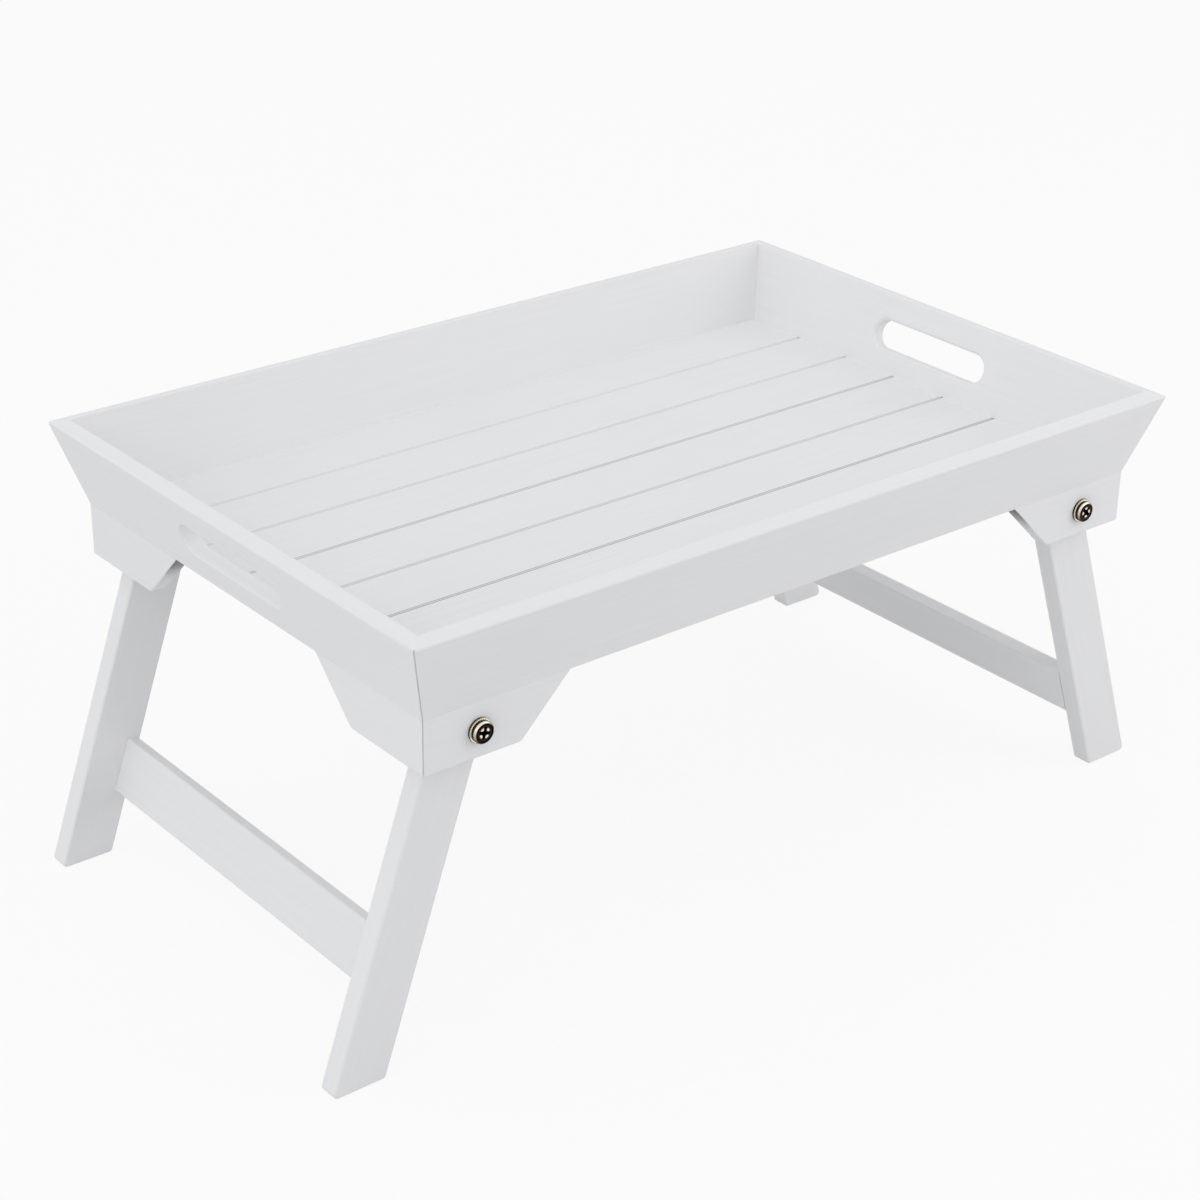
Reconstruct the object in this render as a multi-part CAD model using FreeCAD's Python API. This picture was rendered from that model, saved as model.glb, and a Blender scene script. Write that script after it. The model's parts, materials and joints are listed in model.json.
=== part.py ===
import FreeCAD, Part
import math
import os

# A folding bed tray table in painted wood, in millimetres.
#
# Frame: +Z up, +X along the long side of the tray, -Y the front. The origin lies
# on the surface that the table stands on, under the middle of the tray.
#
# Four outward-leaning walls with mitred corners stand round a floor of thin
# boards. Under each corner two upright boards carry a pivot bolt, and on each
# pair of bolts a frame of two legs and a crossbar swings between its splayed
# standing place and its folded place under the floor. The table is drawn open.

V = FreeCAD.Vector
os.makedirs("parts", exist_ok=True)

# ---- overall sizes ----
rim_length = 500.0        # over the outer edges of the rim, along X
rim_depth = 330.0         # over the outer edges of the rim, along Y
overall_height = 245.0    # from the ground to the highest edge of the rim

# ---- tray walls ----
wall_thickness = 9.0
wall_width = 47.5         # measured up the slope of the outer face
wall_tilt = 17.0          # degrees that a wall leans outward
wall_easing = 1.2         # rounding of the long edges of the rim
slot_length = 88.0        # handle slot, end to end
slot_height = 17.0        # handle slot, measured up the slope
slot_middle = 23.3        # up the slope from the wall's lower outer edge
slot_easing = 1.3         # chamfer round the slot's edges
rabbet_depth = 4.0        # how far the floor runs into the foot of each wall

# ---- tray floor ----
board_count = 7
board_thickness = 4.0
board_gap = 0.35          # open joint between two boards
board_bevel = 0.7         # bevel beside the joint
board_lap = 3.0           # lower lip that the next board lies on
seat_clearance = 0.1      # round a board's ends and edges in the rabbet
batten_width = 22.0
batten_thickness = 6.0
batten_leg_gap = 7.8      # from a batten's end to the folded leg beside it
batten_bar_gap = 32.8     # from a batten's edge to the folded crossbar
batten_easing = 1.2

# ---- corner boards under the tray ----
bracket_thickness = 10.0
bracket_drop = 29.5       # how far a corner board hangs below the walls
side_bracket_foot = 56.5  # level lower edge of the boards on the long sides
end_bracket_foot = 59.0   # level lower edge of the boards on the ends
bracket_slope = 45.0      # degrees of the cut at the free end
bracket_corner = 4.0      # rounding where the cut meets the lower edge
bracket_easing = 0.7

# ---- legs and crossbars ----
leg_width = 29.0
leg_thickness = 12.0
leg_splay = 19.0          # degrees from upright when open
leg_easing = 0.8
foot_corner = 2.5
fold_clearance = 0.3      # between a folded leg and the floor above it
stop_clearance = 0.2      # between a leg's square shoulder and the floor, open
leg_end_gap = 1.4         # from an open leg's outer edge to the foot of the end board
bar_width = 31.0
bar_thickness = 8.0
bar_rise = 36.5           # from the foot to the crossbar, up the leg's inner edge
bar_easing = 0.7
tenon_length = 7.0        # at each end of a crossbar, let into the leg
tenon_thickness = 4.0
tenon_shoulder = 5.0      # cut from each edge of the crossbar beside a tenon
tenon_play = 0.05         # between a tenon and its mortise, on every side

# ---- pivot hardware ----
bolt_diameter = 6.0
running_clearance = 0.05  # radial, between a bolt and the leg that turns on it
bolt_play = 0.2           # radial, in the corner board and the washers
nut_play = 0.05           # radial, between bolt and nut
side_gap = 0.3            # between a leg and the washers beside it
spacer_thickness = 3.0
spacer_diameter = 14.0
head_washer_diameter = 13.0
head_washer_thickness = 1.0
washer_bevel = 0.3
head_diameter = 11.6
head_height = 3.2
head_bevel = 0.6
recess_width = 1.5        # of each arm of the cross recess
recess_reach = 2.9        # from the middle to the end of an arm, at the face
recess_bottom = 1.2       # the same at the bottom of the recess
recess_depth = 2.0
inner_washer_diameter = 12.5
inner_washer_thickness = 1.2
nut_across_flats = 10.0
nut_height = 5.0
collar_height = 1.6       # round collar of the lock nut
collar_bevel = 0.5
bolt_tail = 1.0           # bolt showing beyond the nut

# ---- past a face that a cut starts or ends at ----
overrun = 1.0

# ---- places that follow from the sizes ----
tilt = math.radians(wall_tilt)
splay = math.radians(leg_splay)
flare = wall_width * math.sin(tilt)
under_z = overall_height - wall_width * math.cos(tilt) - wall_thickness * math.sin(tilt)
floor_z = under_z + board_thickness
bracket_z = under_z - bracket_drop
base_x = rim_length / 2 - flare
base_y = rim_depth / 2 - flare
wall_foot = wall_thickness / math.cos(tilt)
seat_x = base_x - wall_foot + rabbet_depth
seat_y = base_y - wall_foot + rabbet_depth
floor_half_depth = base_y - wall_foot + board_thickness * math.tan(tilt)
board_pitch = 2 * floor_half_depth / board_count
pivot_z = under_z - fold_clearance - leg_width / 2
leg_reach = leg_width / 2 / math.cos(splay) + (pivot_z - bracket_z) * math.tan(splay)
pivot_x = base_x - bracket_thickness - leg_end_gap - leg_reach
leg_y = base_y - bracket_thickness - spacer_thickness - side_gap
bar_y = leg_y - leg_thickness
bar_foot = (pivot_z - leg_width / 2 * math.sin(splay)) / math.cos(splay) - bar_rise
batten_x = pivot_x - bar_foot + bar_width + batten_bar_gap + batten_width / 2
batten_half_length = bar_y - batten_leg_gap


def prism(points, travel):
    """Solid swept from a flat outline along a straight travel."""
    outline = Part.makePolygon(points + points[:1])
    return Part.Face(outline).extrude(travel)


def ease(solid, size, chosen):
    """Take the sharp arris off each edge of the solid that the test picks out."""
    return solid.makeChamfer(size, [edge for edge in solid.Edges if chosen(edge)])


def round_off(solid, radius, chosen):
    """Round each edge of the solid that the test picks out."""
    return solid.makeFillet(radius, [edge for edge in solid.Edges if chosen(edge)])


def level(edge, axis):
    """The one value of an edge on an axis, or None where its value changes."""
    box = edge.BoundBox
    low, high = {"x": (box.XMin, box.XMax), "y": (box.YMin, box.YMax), "z": (box.ZMin, box.ZMax)}[axis]
    return (low + high) / 2 if high - low < 1e-6 else None


def lies_at(edge, axis, *values):
    """Whether an edge keeps to one of these values on an axis."""
    place = level(edge, axis)
    return place is not None and any(abs(place - value) < 1e-6 for value in values)


def stands_on(edge, axis):
    """Whether an edge runs straight along an axis."""
    return all(level(edge, other) is not None for other in "xyz".replace(axis, ""))


def quarter(solid, turns):
    """The solid turned about the Z axis by quarter turns."""
    turned = solid.copy()
    turned.rotate(V(0, 0, 0), V(0, 0, 1), 90 * turns)
    return turned


def save(name, *solids):
    """Write one piece, or a group of like pieces, under its name."""
    shape = solids[0] if len(solids) == 1 else Part.makeCompound(list(solids))
    shape.exportStep("parts/" + name + ".step")


# ---- walls ----

def mitre_wedge(half_length, half_depth, low, high):
    """Space on the -Y side of a rectangle between the two diagonals of its corners."""
    reach = 40.0
    over = 5.0
    plan = [
        V(-half_length - over, -half_depth - over, low),
        V(half_length + over, -half_depth - over, low),
        V(half_length - reach, -half_depth + reach, low),
        V(-half_length + reach, -half_depth + reach, low),
    ]
    return prism(plan, V(0, 0, high - low))


def slot_cutter():
    """Stadium through the wall, drawn on the upright board before it leans."""
    radius = slot_height / 2
    straight = slot_length - slot_height
    through = 3 * wall_thickness
    low = slot_middle - radius
    body = Part.makeBox(straight, through, slot_height, V(-straight / 2, -wall_thickness, low))
    for side in (-1, 1):
        middle = V(side * straight / 2, -wall_thickness, slot_middle)
        body = body.fuse(Part.makeCylinder(radius, through, middle, V(0, 1, 0)))
    return body.removeSplitter()


def wall(length, depth, slotted):
    """The wall on the -Y side of a rim of this length and depth."""
    skirt = wall_thickness
    board = Part.makeBox(length, wall_thickness, wall_width + skirt, V(-length / 2, 0, -skirt))
    board = round_off(board, wall_easing, lambda e: stands_on(e, "x") and lies_at(e, "z", wall_width))
    if slotted:
        board = board.cut(slot_cutter())
        inside = slot_length / 2 + overrun
        board = ease(board, slot_easing, lambda e: lies_at(e, "y", 0, wall_thickness)
                     and e.BoundBox.XMax < inside and e.BoundBox.XMin > -inside)
    board.rotate(V(0, 0, 0), V(1, 0, 0), wall_tilt)
    board.translate(V(0, flare - depth / 2, under_z))
    board = board.common(mitre_wedge(length / 2, depth / 2, under_z, overall_height + overrun))
    rabbet = Part.makeBox(length, depth / 2, board_thickness,
                          V(-length / 2, wall_foot - rabbet_depth + flare - depth / 2, under_z))
    return board.cut(rabbet)


def make_walls():
    """Two long walls, and two end walls with handle slots."""
    front = wall(rim_length, rim_depth, False)
    left = quarter(wall(rim_depth, rim_length, True), -1)
    save("front_wall", front)
    save("back_wall", quarter(front, 2))
    save("left_end_wall", left)
    save("right_end_wall", quarter(left, 2))


# ---- floor ----

def floor_board(number):
    """A floor board, lapped over its neighbours; number 0 lies at the front."""
    bottom = under_z
    middle = under_z + board_thickness / 2
    top = floor_z
    half_gap = board_gap / 2
    low = -floor_half_depth + number * board_pitch + half_gap
    high = low + board_pitch - board_gap
    low_lip = low + board_lap
    high_lip = high + board_lap - half_gap
    low_bevel = board_bevel
    high_bevel = board_bevel
    if number == 0:
        low = low_lip = seat_clearance - seat_y
        low_bevel = 0.0
    if number == board_count - 1:
        high = high_lip = seat_y - seat_clearance
        high_bevel = 0.0
    section = [(low_lip, bottom), (high_lip, bottom), (high_lip, middle), (high, middle)]
    section += [(high, top - high_bevel), (high - high_bevel, top)]
    section += [(low + low_bevel, top), (low, top - low_bevel), (low, middle), (low_lip, middle)]
    outline = []
    for y, z in section:
        point = V(seat_clearance - seat_x, y, z)
        if not outline or outline[-1].distanceToPoint(point) > 1e-6:
            outline.append(point)
    return prism(outline, V(2 * (seat_x - seat_clearance), 0, 0))


def floor_batten(side):
    """Flat batten across the underside of the boards, clear of the folded legs."""
    corner = V(side * batten_x - batten_width / 2, -batten_half_length, under_z - batten_thickness)
    batten = Part.makeBox(batten_width, 2 * batten_half_length, batten_thickness, corner)
    return ease(batten, batten_easing, lambda e: lies_at(e, "z", under_z - batten_thickness))


def make_floor():
    """Seven lapped boards and the two battens that tie them together."""
    for number in range(board_count):
        save("floor_board_%d" % (number + 1), floor_board(number))
    save("floor_batten_left", floor_batten(-1))
    save("floor_batten_right", floor_batten(1))


# ---- corner boards ----

def corner_board(half_length, half_depth, side, foot):
    """Corner board on the -Y side of the base, at its -X (-1) or +X (1) end."""
    cut = bracket_drop / math.tan(math.radians(bracket_slope))
    outer = -half_depth
    inner = outer + bracket_thickness
    outline = [
        V(side * half_length, outer, under_z),
        V(side * (half_length - foot - cut), outer, under_z),
        V(side * (half_length - foot), outer, bracket_z),
        V(side * half_length, outer, bracket_z),
    ]
    board = prism(outline, V(0, bracket_thickness, 0))
    turn_x = side * (half_length - foot)
    board = round_off(board, bracket_corner, lambda e: stands_on(e, "y") and lies_at(e, "x", turn_x))
    board = ease(board, bracket_easing, lambda e: lies_at(e, "y", outer, inner)
                 and not lies_at(e, "z", under_z) and not lies_at(e, "x", side * half_length))
    return board.common(mitre_wedge(half_length, half_depth, bracket_z, under_z))


def make_corner_boards():
    """A board on the long side and one on the end, mitred together, at each corner."""
    hole = bolt_diameter / 2 + bolt_play
    for side, side_name in ((-1, "left"), (1, "right")):
        board = corner_board(base_x, base_y, side, side_bracket_foot)
        bore = Part.makeCylinder(hole, 2 * base_y, V(side * pivot_x, -base_y - overrun, pivot_z), V(0, 1, 0))
        board = board.cut(bore)
        save("bracket_front_" + side_name, board)
        save("bracket_back_" + {"left": "right", "right": "left"}[side_name], quarter(board, 2))
        end_board = corner_board(base_y, base_x, side, end_bracket_foot)
        left_name = {-1: "back", 1: "front"}[side]
        right_name = {-1: "front", 1: "back"}[side]
        save("end_bracket_left_" + left_name, quarter(end_board, -1))
        save("end_bracket_right_" + right_name, quarter(end_board, 1))


# ---- leg frames ----

def leg_point(side, across, down, y):
    """Point of an open leg: across it, outward, and down it, from the pivot."""
    x = pivot_x + across * math.cos(splay) + down * math.sin(splay)
    z = pivot_z + across * math.sin(splay) - down * math.cos(splay)
    return V(side * x, y, z)


def foot_down(across):
    """Length of the leg from the pivot to the ground, at a place across it."""
    return (pivot_z + across * math.sin(splay)) / math.cos(splay)


def shoulder_rise():
    """Height of the square top above the pivot: it meets the floor when the leg is open."""
    room = under_z - stop_clearance - pivot_z
    return (room - leg_width / 2 * math.sin(splay)) / math.cos(splay)


def leg(side, y):
    """Leg from y to y + thickness: top rounded inside, square outside as a stop, foot cut level."""
    half = leg_width / 2
    rise = shoulder_rise()
    round_end = math.sqrt(half * half - rise * rise)
    bend = math.atan2(rise, round_end) / 2
    square = leg_point(side, half, -rise, y)
    outer_foot = leg_point(side, half, foot_down(half), y)
    inner_foot = leg_point(side, -half, foot_down(-half), y)
    arc_start = leg_point(side, -half, 0, y)
    arc_middle = leg_point(side, -half * math.cos(bend), -half * math.sin(bend), y)
    arc_end = leg_point(side, -round_end, -rise, y)
    edges = [
        Part.makeLine(square, outer_foot),
        Part.makeLine(outer_foot, inner_foot),
        Part.makeLine(inner_foot, arc_start),
        Part.Arc(arc_start, arc_middle, arc_end).toShape(),
        Part.makeLine(arc_end, square),
    ]
    solid = Part.Face(Part.Wire(edges)).extrude(V(0, leg_thickness, 0))
    solid = round_off(solid, foot_corner, lambda e: stands_on(e, "y") and lies_at(e, "z", 0))
    solid = ease(solid, leg_easing, lambda e: lies_at(e, "y", y, y + leg_thickness))
    bore = Part.makeCylinder(bolt_diameter / 2 + running_clearance, 2 * leg_thickness,
                             V(side * pivot_x, y - leg_thickness / 2, pivot_z), V(0, 1, 0))
    return solid.cut(bore)


def bar_block(side, half_span, shoulder, face_in, play):
    """Straight bar across an end frame, cut back from the crossbar's edges and inner face."""
    inner = -leg_width / 2 + face_in - play
    outer = -leg_width / 2 + bar_thickness - face_in + play
    low = bar_foot - shoulder + play
    high = low - bar_width + 2 * shoulder - 2 * play
    outline = [leg_point(side, across, down, -half_span)
               for across, down in ((inner, low), (outer, low), (outer, high), (inner, high))]
    return prism(outline, V(0, 2 * half_span, 0))


def crossbar(side):
    """Flat bar between two legs, flush with their inner edges, with a stub tenon at each end."""
    bar = ease(bar_block(side, bar_y, 0, 0, 0), bar_easing, lambda e: stands_on(e, "y"))
    cheek = (bar_thickness - tenon_thickness) / 2
    tenons = bar_block(side, bar_y + tenon_length, tenon_shoulder, cheek, 0)
    return bar.fuse(tenons).removeSplitter()


def make_leg_frame(side, name):
    """Two legs and the crossbar between them, its tenons let into the legs."""
    cheek = (bar_thickness - tenon_thickness) / 2
    mortises = bar_block(side, bar_y + tenon_length + tenon_play, tenon_shoulder, cheek, tenon_play)
    save(name + "_front_leg", leg(side, -leg_y).cut(mortises))
    save(name + "_back_leg", leg(side, bar_y).cut(mortises))
    save(name + "_crossbar", crossbar(side))


# ---- pivot hardware ----

def turned(profile, centre, outward):
    """Solid turned about Y from (radius, distance outward) points."""
    points = [V(radius, outward * distance, 0) for radius, distance in profile]
    outline = Part.makePolygon(points + points[:1])
    solid = Part.Face(outline).revolve(V(0, 0, 0), V(0, 1, 0), 360)
    solid.translate(centre)
    return solid


def washer(diameter, low, high, bevel=0.0):
    """Profile of a washer on the bolt, its outer edge bevelled on the high side."""
    hole = bolt_diameter / 2 + bolt_play
    edge = [(diameter / 2, high - bevel)] if bevel else []
    return [(hole, low), (diameter / 2, low)] + edge + [(diameter / 2 - bevel, high), (hole, high)]


def pivot_bolt(centre, outward):
    """Bolt with a low round head and a cross recess; distances run outward from the board."""
    radius = bolt_diameter / 2
    seat = head_washer_thickness
    face = seat + head_height
    nut_end = bracket_thickness + spacer_thickness + leg_thickness + 2 * side_gap
    nut_end += inner_washer_thickness + nut_height + collar_height
    tip = -nut_end - bolt_tail
    profile = [(0, tip), (radius - head_bevel, tip), (radius, tip + head_bevel), (radius, seat)]
    profile += [(head_diameter / 2 - head_bevel / 2, seat), (head_diameter / 2, seat + head_bevel / 2)]
    profile += [(head_diameter / 2, face - head_bevel), (head_diameter / 2 - head_bevel, face), (0, face)]
    bolt = turned(profile, centre, outward)
    corners = [(-recess_reach, face), (recess_reach, face), (recess_bottom, face - recess_depth),
               (-recess_bottom, face - recess_depth)]
    half = recess_width / 2
    level_arm = prism([centre + V(x, outward * y, -half) for x, y in corners], V(0, 0, recess_width))
    upright_arm = prism([centre + V(-half, outward * y, z) for z, y in corners], V(recess_width, 0, 0))
    return bolt.cut(level_arm.fuse(upright_arm))


def lock_nut(centre, outward):
    """Hexagon nut with a round collar on its inner side."""
    high = -(bracket_thickness + spacer_thickness + leg_thickness + 2 * side_gap + inner_washer_thickness)
    low = high - nut_height
    collar_end = low - collar_height
    corner = nut_across_flats / math.sqrt(3)
    points = [
        centre + V(corner * math.cos(math.pi * k / 3), outward * high, corner * math.sin(math.pi * k / 3))
        for k in range(6)
    ]
    hexagon = prism(points, V(0, -outward * nut_height, 0))
    collar_radius = nut_across_flats / 2 - collar_bevel
    collar = [(0, low), (collar_radius, low), (collar_radius, collar_end + collar_bevel),
              (collar_radius - collar_bevel, collar_end), (0, collar_end)]
    body = hexagon.fuse(turned(collar, centre, outward))
    bore = Part.makeCylinder(bolt_diameter / 2 + nut_play, 2 * bracket_thickness,
                             centre + V(0, outward * (high + overrun), 0), V(0, -outward, 0))
    return body.cut(bore)


def make_pivots():
    """Bolt, washers, spacer and nut of each of the four pivots."""
    spacer_low = -bracket_thickness - spacer_thickness
    inner_high = spacer_low - leg_thickness - 2 * side_gap
    head_washer = washer(head_washer_diameter, 0, head_washer_thickness, washer_bevel)
    spacer = washer(spacer_diameter, spacer_low, -bracket_thickness)
    inner_washer = washer(inner_washer_diameter, inner_high - inner_washer_thickness, inner_high)
    places = [(V(x, outward * base_y, pivot_z), outward) for outward in (-1, 1) for x in (-pivot_x, pivot_x)]
    save("pivot_bolts", *[pivot_bolt(centre, outward) for centre, outward in places])
    save("pivot_nuts", *[lock_nut(centre, outward) for centre, outward in places])
    for name, profile in (("pivot_head_washers", head_washer), ("pivot_spacers", spacer),
                          ("pivot_inner_washers", inner_washer)):
        save(name, *[turned(profile, centre, outward) for centre, outward in places])


make_walls()
make_floor()
make_corner_boards()
make_leg_frame(-1, "left")
make_leg_frame(1, "right")
make_pivots()
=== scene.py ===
# %% [markdown]
# # A folding bed tray table, painted white
# The CAD model gives every piece its true size and place. This file gives the pieces
# their looks: softened edges, paint, brass and the light of a plain studio.
# The frame is loaded first, because everything else is placed by what it says.

import json
import math

import bmesh
import bpy
import numpy as np
from mathutils import Matrix, Vector


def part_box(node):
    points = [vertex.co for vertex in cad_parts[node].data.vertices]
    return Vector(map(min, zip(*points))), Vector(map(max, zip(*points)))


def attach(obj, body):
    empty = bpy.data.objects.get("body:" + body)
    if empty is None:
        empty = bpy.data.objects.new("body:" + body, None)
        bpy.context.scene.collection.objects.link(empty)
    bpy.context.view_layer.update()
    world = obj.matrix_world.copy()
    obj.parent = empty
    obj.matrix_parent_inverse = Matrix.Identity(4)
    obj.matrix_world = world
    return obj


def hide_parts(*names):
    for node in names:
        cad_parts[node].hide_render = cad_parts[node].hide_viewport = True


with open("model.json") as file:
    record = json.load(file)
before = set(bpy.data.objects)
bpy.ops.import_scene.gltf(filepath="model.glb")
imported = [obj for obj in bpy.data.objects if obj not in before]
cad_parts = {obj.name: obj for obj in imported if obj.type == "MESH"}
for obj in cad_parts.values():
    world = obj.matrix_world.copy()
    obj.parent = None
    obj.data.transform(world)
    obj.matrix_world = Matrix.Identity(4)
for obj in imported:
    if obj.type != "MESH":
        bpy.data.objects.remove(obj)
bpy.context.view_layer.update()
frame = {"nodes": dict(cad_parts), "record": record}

MM = 0.001
scene = bpy.context.scene

# %% [markdown]
# ## Camera
# The photograph looks down on the tray's near left corner with a long lens. A camera
# is easiest to set from what it looks at: a target, an angle round it, an angle above
# it, and a distance. A small roll tilts the picture as the photograph is tilted.

# %% The camera
AZIMUTH, ELEVATION, ROLL = np.radians([-39.3, 26.13, 0.92])
DISTANCE = 1.4940
TARGET = np.array([0.00515, 0.01875, 0.120])
FOCAL_SHARE = 2674.86 / 1200      # focal length over the picture's width

back = np.array([
    math.sin(AZIMUTH) * math.cos(ELEVATION),
    -math.cos(AZIMUTH) * math.cos(ELEVATION),
    math.sin(ELEVATION),
])
right = np.array([math.cos(AZIMUTH), math.sin(AZIMUTH), 0.0])
up = np.cross(back, right)
right_rolled = right * math.cos(ROLL) + up * math.sin(ROLL)
up_rolled = up * math.cos(ROLL) - right * math.sin(ROLL)

camera = bpy.data.objects.new("camera", bpy.data.cameras.new("camera"))
scene.collection.objects.link(camera)
camera.data.sensor_width = 36.0
camera.data.lens = FOCAL_SHARE * camera.data.sensor_width
camera.data.clip_start, camera.data.clip_end = 0.05, 60.0
turn = np.eye(4)
turn[:3, 0], turn[:3, 1], turn[:3, 2] = right_rolled, up_rolled, back
turn[:3, 3] = TARGET + back * DISTANCE
camera.matrix_world = Matrix(turn.tolist())
scene.camera = camera
print("lens %.1f mm, camera at" % camera.data.lens, np.round(turn[:3, 3], 3))

# %% [markdown]
# ## Colours and nodes
# Paint and metal colours are written as sRGB hex values, as a paint card gives them,
# and one function turns them to the linear values that light is worked out in.
# One more function adds a shader node, sets its values and joins its links.

# %% Helpers for colours and nodes
def linear(hex_colour):
    """sRGB hex to linear RGBA. A channel c becomes ((c + 0.055) / 1.055) ** 2.4,
    or c / 12.92 near black."""
    channels = np.array([int(hex_colour[i:i + 2], 16) for i in (1, 3, 5)]) / 255
    bright = ((channels + 0.055) / 1.055) ** 2.4
    return (*np.where(channels <= 0.04045, channels / 12.92, bright).tolist(), 1.0)


def add(tree, kind, settings=None, **inputs):
    """Add a node; settings are its own options, inputs are values or (node, output) links."""
    node = tree.nodes.new(kind)
    for key, value in (settings or {}).items():
        setattr(node, key, value)
    for key, value in inputs.items():
        name = key.replace("_", " ")
        socket = node.inputs[int(key[1:])] if key[0] == "n" and key[1:].isdigit() else node.inputs[name]
        if isinstance(value, tuple) and isinstance(value[0], bpy.types.Node):
            tree.links.new(value[0].outputs[value[1]], socket)
        else:
            socket.default_value = value
    return node


def new_material(name):
    """An empty node material and its tree."""
    material = bpy.data.materials.new(name)
    material.use_nodes = True
    material.node_tree.nodes.clear()
    return material, material.node_tree


print("sRGB #808080 is %.3f in linear light" % linear("#808080")[0])

# %% [markdown]
# ## Light
# The photograph is a shop picture: white all round, soft shadows, no hard highlight.
# A pale, slightly cool world lights every side, a little more from above and from the
# left than from the right, as near a large window. Three large, slightly warm lamps
# shape it: one to the left, one to the right of the front and one above, each just
# strong enough to lift the faces that look its way. The camera and the gloss of paint
# and metal see the world as plain white.

# %% The world
FILL_COLOUR = linear("#FAFBFD")
FILL_LEVEL = 0.66                # strength of the fill from straight ahead
FILL_LEAN = (-0.2, 0.0, 0.2)     # how much that grows towards the left and upwards


def directly_seen(tree):
    """1 for rays from the camera and for rays that gloss or glass sends on, or else 0."""
    path = add(tree, "ShaderNodeLightPath")
    seen = add(tree, "ShaderNodeMath", {"operation": "MAXIMUM"},
               n0=(path, "Is Camera Ray"), n1=(path, "Is Glossy Ray"))
    return add(tree, "ShaderNodeMath", {"operation": "MAXIMUM"},
               n0=(seen, 0), n1=(path, "Is Transmission Ray"))


world = bpy.data.worlds.new("white_studio")
scene.world = world
world.use_nodes = True
tree = world.node_tree
tree.nodes.clear()
seen = directly_seen(tree)
sky = add(tree, "ShaderNodeTexCoord")
lean = add(tree, "ShaderNodeVectorMath", {"operation": "DOT_PRODUCT"},
           n0=(sky, "Generated"), n1=FILL_LEAN)
level = add(tree, "ShaderNodeMath", {"operation": "ADD"}, n0=(lean, "Value"), n1=FILL_LEVEL)
fill = add(tree, "ShaderNodeBackground", Color=FILL_COLOUR, Strength=(level, 0))
white = add(tree, "ShaderNodeBackground", Color=(1, 1, 1, 1), Strength=1.0)
mixed = add(tree, "ShaderNodeMixShader", n0=(seen, 0), n1=(fill, 0), n2=(white, 0))
add(tree, "ShaderNodeOutputWorld", Surface=(mixed, 0))
scene.view_settings.view_transform = "Standard"
print("world", world.name, "with", len(tree.nodes), "nodes")

# %% Three soft lamps
LAMP_COLOUR = linear("#FFFDF9")[:3]
AIM = Vector((0, 0, 0.15))       # a point under the tray's middle, which every lamp faces


def softbox(name, place, width, watts):
    """A square area lamp that faces the table; place and width in metres."""
    lamp = bpy.data.objects.new(name, bpy.data.lights.new(name, "AREA"))
    scene.collection.objects.link(lamp)
    lamp.data.size = width
    lamp.data.energy = watts
    lamp.data.color = LAMP_COLOUR
    away = Vector(place) - AIM
    lamp.matrix_world = Matrix.Translation(place) @ away.to_track_quat("Z", "Y").to_matrix().to_4x4()


softbox("left_softbox", (-2.4, -0.3, 1.6), 1.6, 6.5)
softbox("right_softbox", (1.1, -1.2, 0.8), 1.0, 4.6)
softbox("top_softbox", (0.0, 0.2, 3.0), 2.0, 4.2)

# %% [markdown]
# ## Floor
# A plain pale floor runs past the edges of the picture. To the camera it is mostly a
# white that the light doesn't change, and partly a lit surface, so that the table's
# soft shadow stays on it. From below it is clear as air, so that a view from under the
# table shows the underside.

# %% The floor
HALF_FLOOR, FLOOR_DROP = 8.0, 0.0002     # metres; the floor lies a hair under the feet
WHITE_SHARE = 0.88                       # of what the camera sees there

floor_mesh = bpy.data.meshes.new("studio_floor")
floor_mesh.from_pydata(
    [(x * HALF_FLOOR, y * HALF_FLOOR, -FLOOR_DROP) for x, y in ((-1, -1), (1, -1), (1, 1), (-1, 1))],
    [], [(0, 1, 2, 3)])
floor = bpy.data.objects.new("studio_floor", floor_mesh)
scene.collection.objects.link(floor)
studio_paint, tree = new_material("matt_white_studio_floor")
seen = directly_seen(tree)
share = add(tree, "ShaderNodeMath", {"operation": "MULTIPLY"}, n0=(seen, 0), n1=WHITE_SHARE)
lit = add(tree, "ShaderNodeBsdfDiffuse", Color=linear("#E7E7E7"))
glow = add(tree, "ShaderNodeEmission", Color=(1, 1, 1, 1), Strength=1.0)
mixed = add(tree, "ShaderNodeMixShader", n0=(share, 0), n1=(lit, 0), n2=(glow, 0))
side = add(tree, "ShaderNodeNewGeometry")
clear = add(tree, "ShaderNodeBsdfTransparent")
mixed = add(tree, "ShaderNodeMixShader", n0=(side, "Backfacing"), n1=(mixed, 0), n2=(clear, 0))
add(tree, "ShaderNodeOutputMaterial", Surface=(mixed, 0))
floor_mesh.materials.append(studio_paint)
print("floor %.0f m wide" % (2 * HALF_FLOOR))

# %% [markdown]
# ## Where each piece belongs
# The imported record says which body a node moves with. A new piece stands for a node,
# so it takes its body from the record and can't drift from it.

# %% Body of every node
body_of_node = {node: body for body, members in frame["record"]["behaviour"]["bodies"].items()
                for node in members}


def stand_in(name, mesh, node, materials):
    """Put a finished mesh in the scene in place of a CAD node."""
    for material in materials:
        mesh.materials.append(material)
    piece = bpy.data.objects.new(name, mesh)
    scene.collection.objects.link(piece)
    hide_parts(node)
    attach(piece, body_of_node[node])
    return piece
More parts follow.
